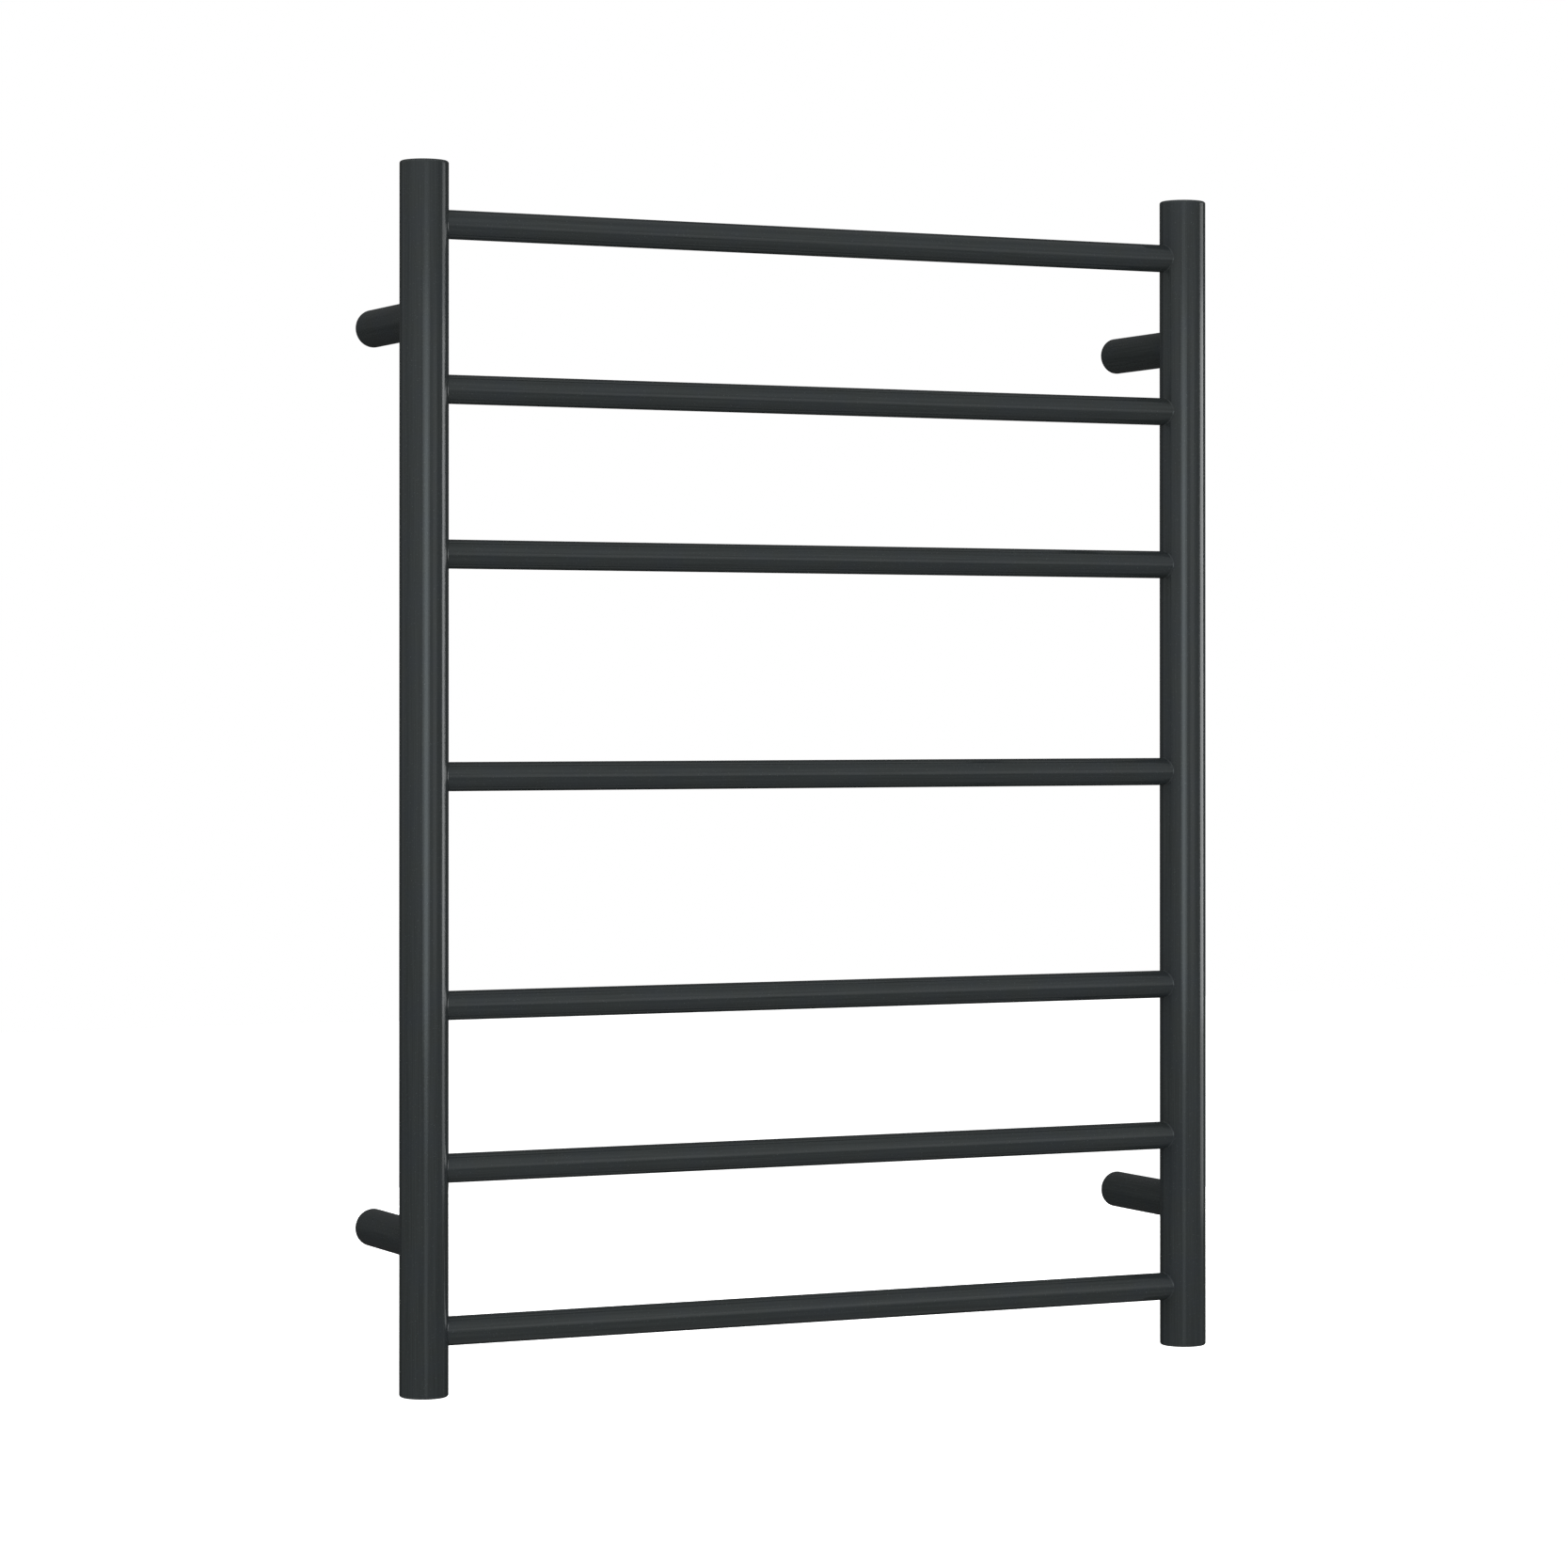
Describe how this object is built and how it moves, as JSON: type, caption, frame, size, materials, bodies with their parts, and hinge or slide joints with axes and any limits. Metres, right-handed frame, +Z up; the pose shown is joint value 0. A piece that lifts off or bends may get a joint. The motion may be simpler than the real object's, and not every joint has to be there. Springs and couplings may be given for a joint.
{
  "type": "towel warmer rack",
  "caption": "Wall-mounted electric towel warmer: a welded ladder of round steel uprights and bars on posts, with a heating cable inside.",
  "frame": {"origin": "on the wall plane, midway between the two uprights and at half their height", "axes": "+X along the bars to the right of someone facing the rack, +Y into the wall, +Z up along the uprights"},
  "size_m": [0.6, 0.11, 0.8],
  "materials": {
    "coated_steel": "charcoal metallic powder coat, satin, with a fine lengthwise brushed grain",
    "zinc_plated_steel": "turned steel, bright zinc plate",
    "black_screw_steel": "blackened alloy steel",
    "grommet_rubber": "matt moulded rubber",
    "joint_rubber": "heat-shrunk sleeve, satin black",
    "cable_silicone": "extruded silicone rubber, satin brick red",
    "cutout_plastic": "moulded heat-resisting plastic",
    "spring_steel": "rolled spring steel strip",
    "lead_insulation": "extruded fluoropolymer insulation",
    "tinned_brass": "tin-plated pressing"
  },
  "bodies": {
    "root": {"left_upright": "coated_steel", "left_top_cap": "coated_steel", "left_bottom_cap": "coated_steel", "right_upright": "coated_steel", "right_top_cap": "coated_steel", "right_bottom_cap": "coated_steel", "bar_1": "coated_steel", "bar_2": "coated_steel", "bar_3": "coated_steel", "bar_4": "coated_steel", "bar_5": "coated_steel", "bar_6": "coated_steel", "bar_7": "coated_steel", "upper_left_post": "coated_steel", "upper_left_wall_boss": "zinc_plated_steel", "upper_left_grub_screw": "black_screw_steel", "upper_right_post": "coated_steel", "upper_right_wall_boss": "zinc_plated_steel", "upper_right_grub_screw": "black_screw_steel", "lower_left_post": "coated_steel", "lower_left_wall_boss": "zinc_plated_steel", "lower_left_grub_screw": "black_screw_steel", "lower_right_post": "coated_steel", "lower_right_wall_boss": "zinc_plated_steel", "lower_right_grub_screw": "black_screw_steel", "supply_cable_grommet": "grommet_rubber", "cold_joint": "joint_rubber", "heating_cable": "cable_silicone", "heating_cable_end_sleeve": "joint_rubber", "thermal_cutout": "cutout_plastic", "thermal_cutout_spring": "spring_steel", "thermal_cutout_lead": "lead_insulation", "earth_stud": "zinc_plated_steel", "earth_ring_terminal": "tinned_brass", "earth_nut": "zinc_plated_steel"}
  },
  "joints": []
}
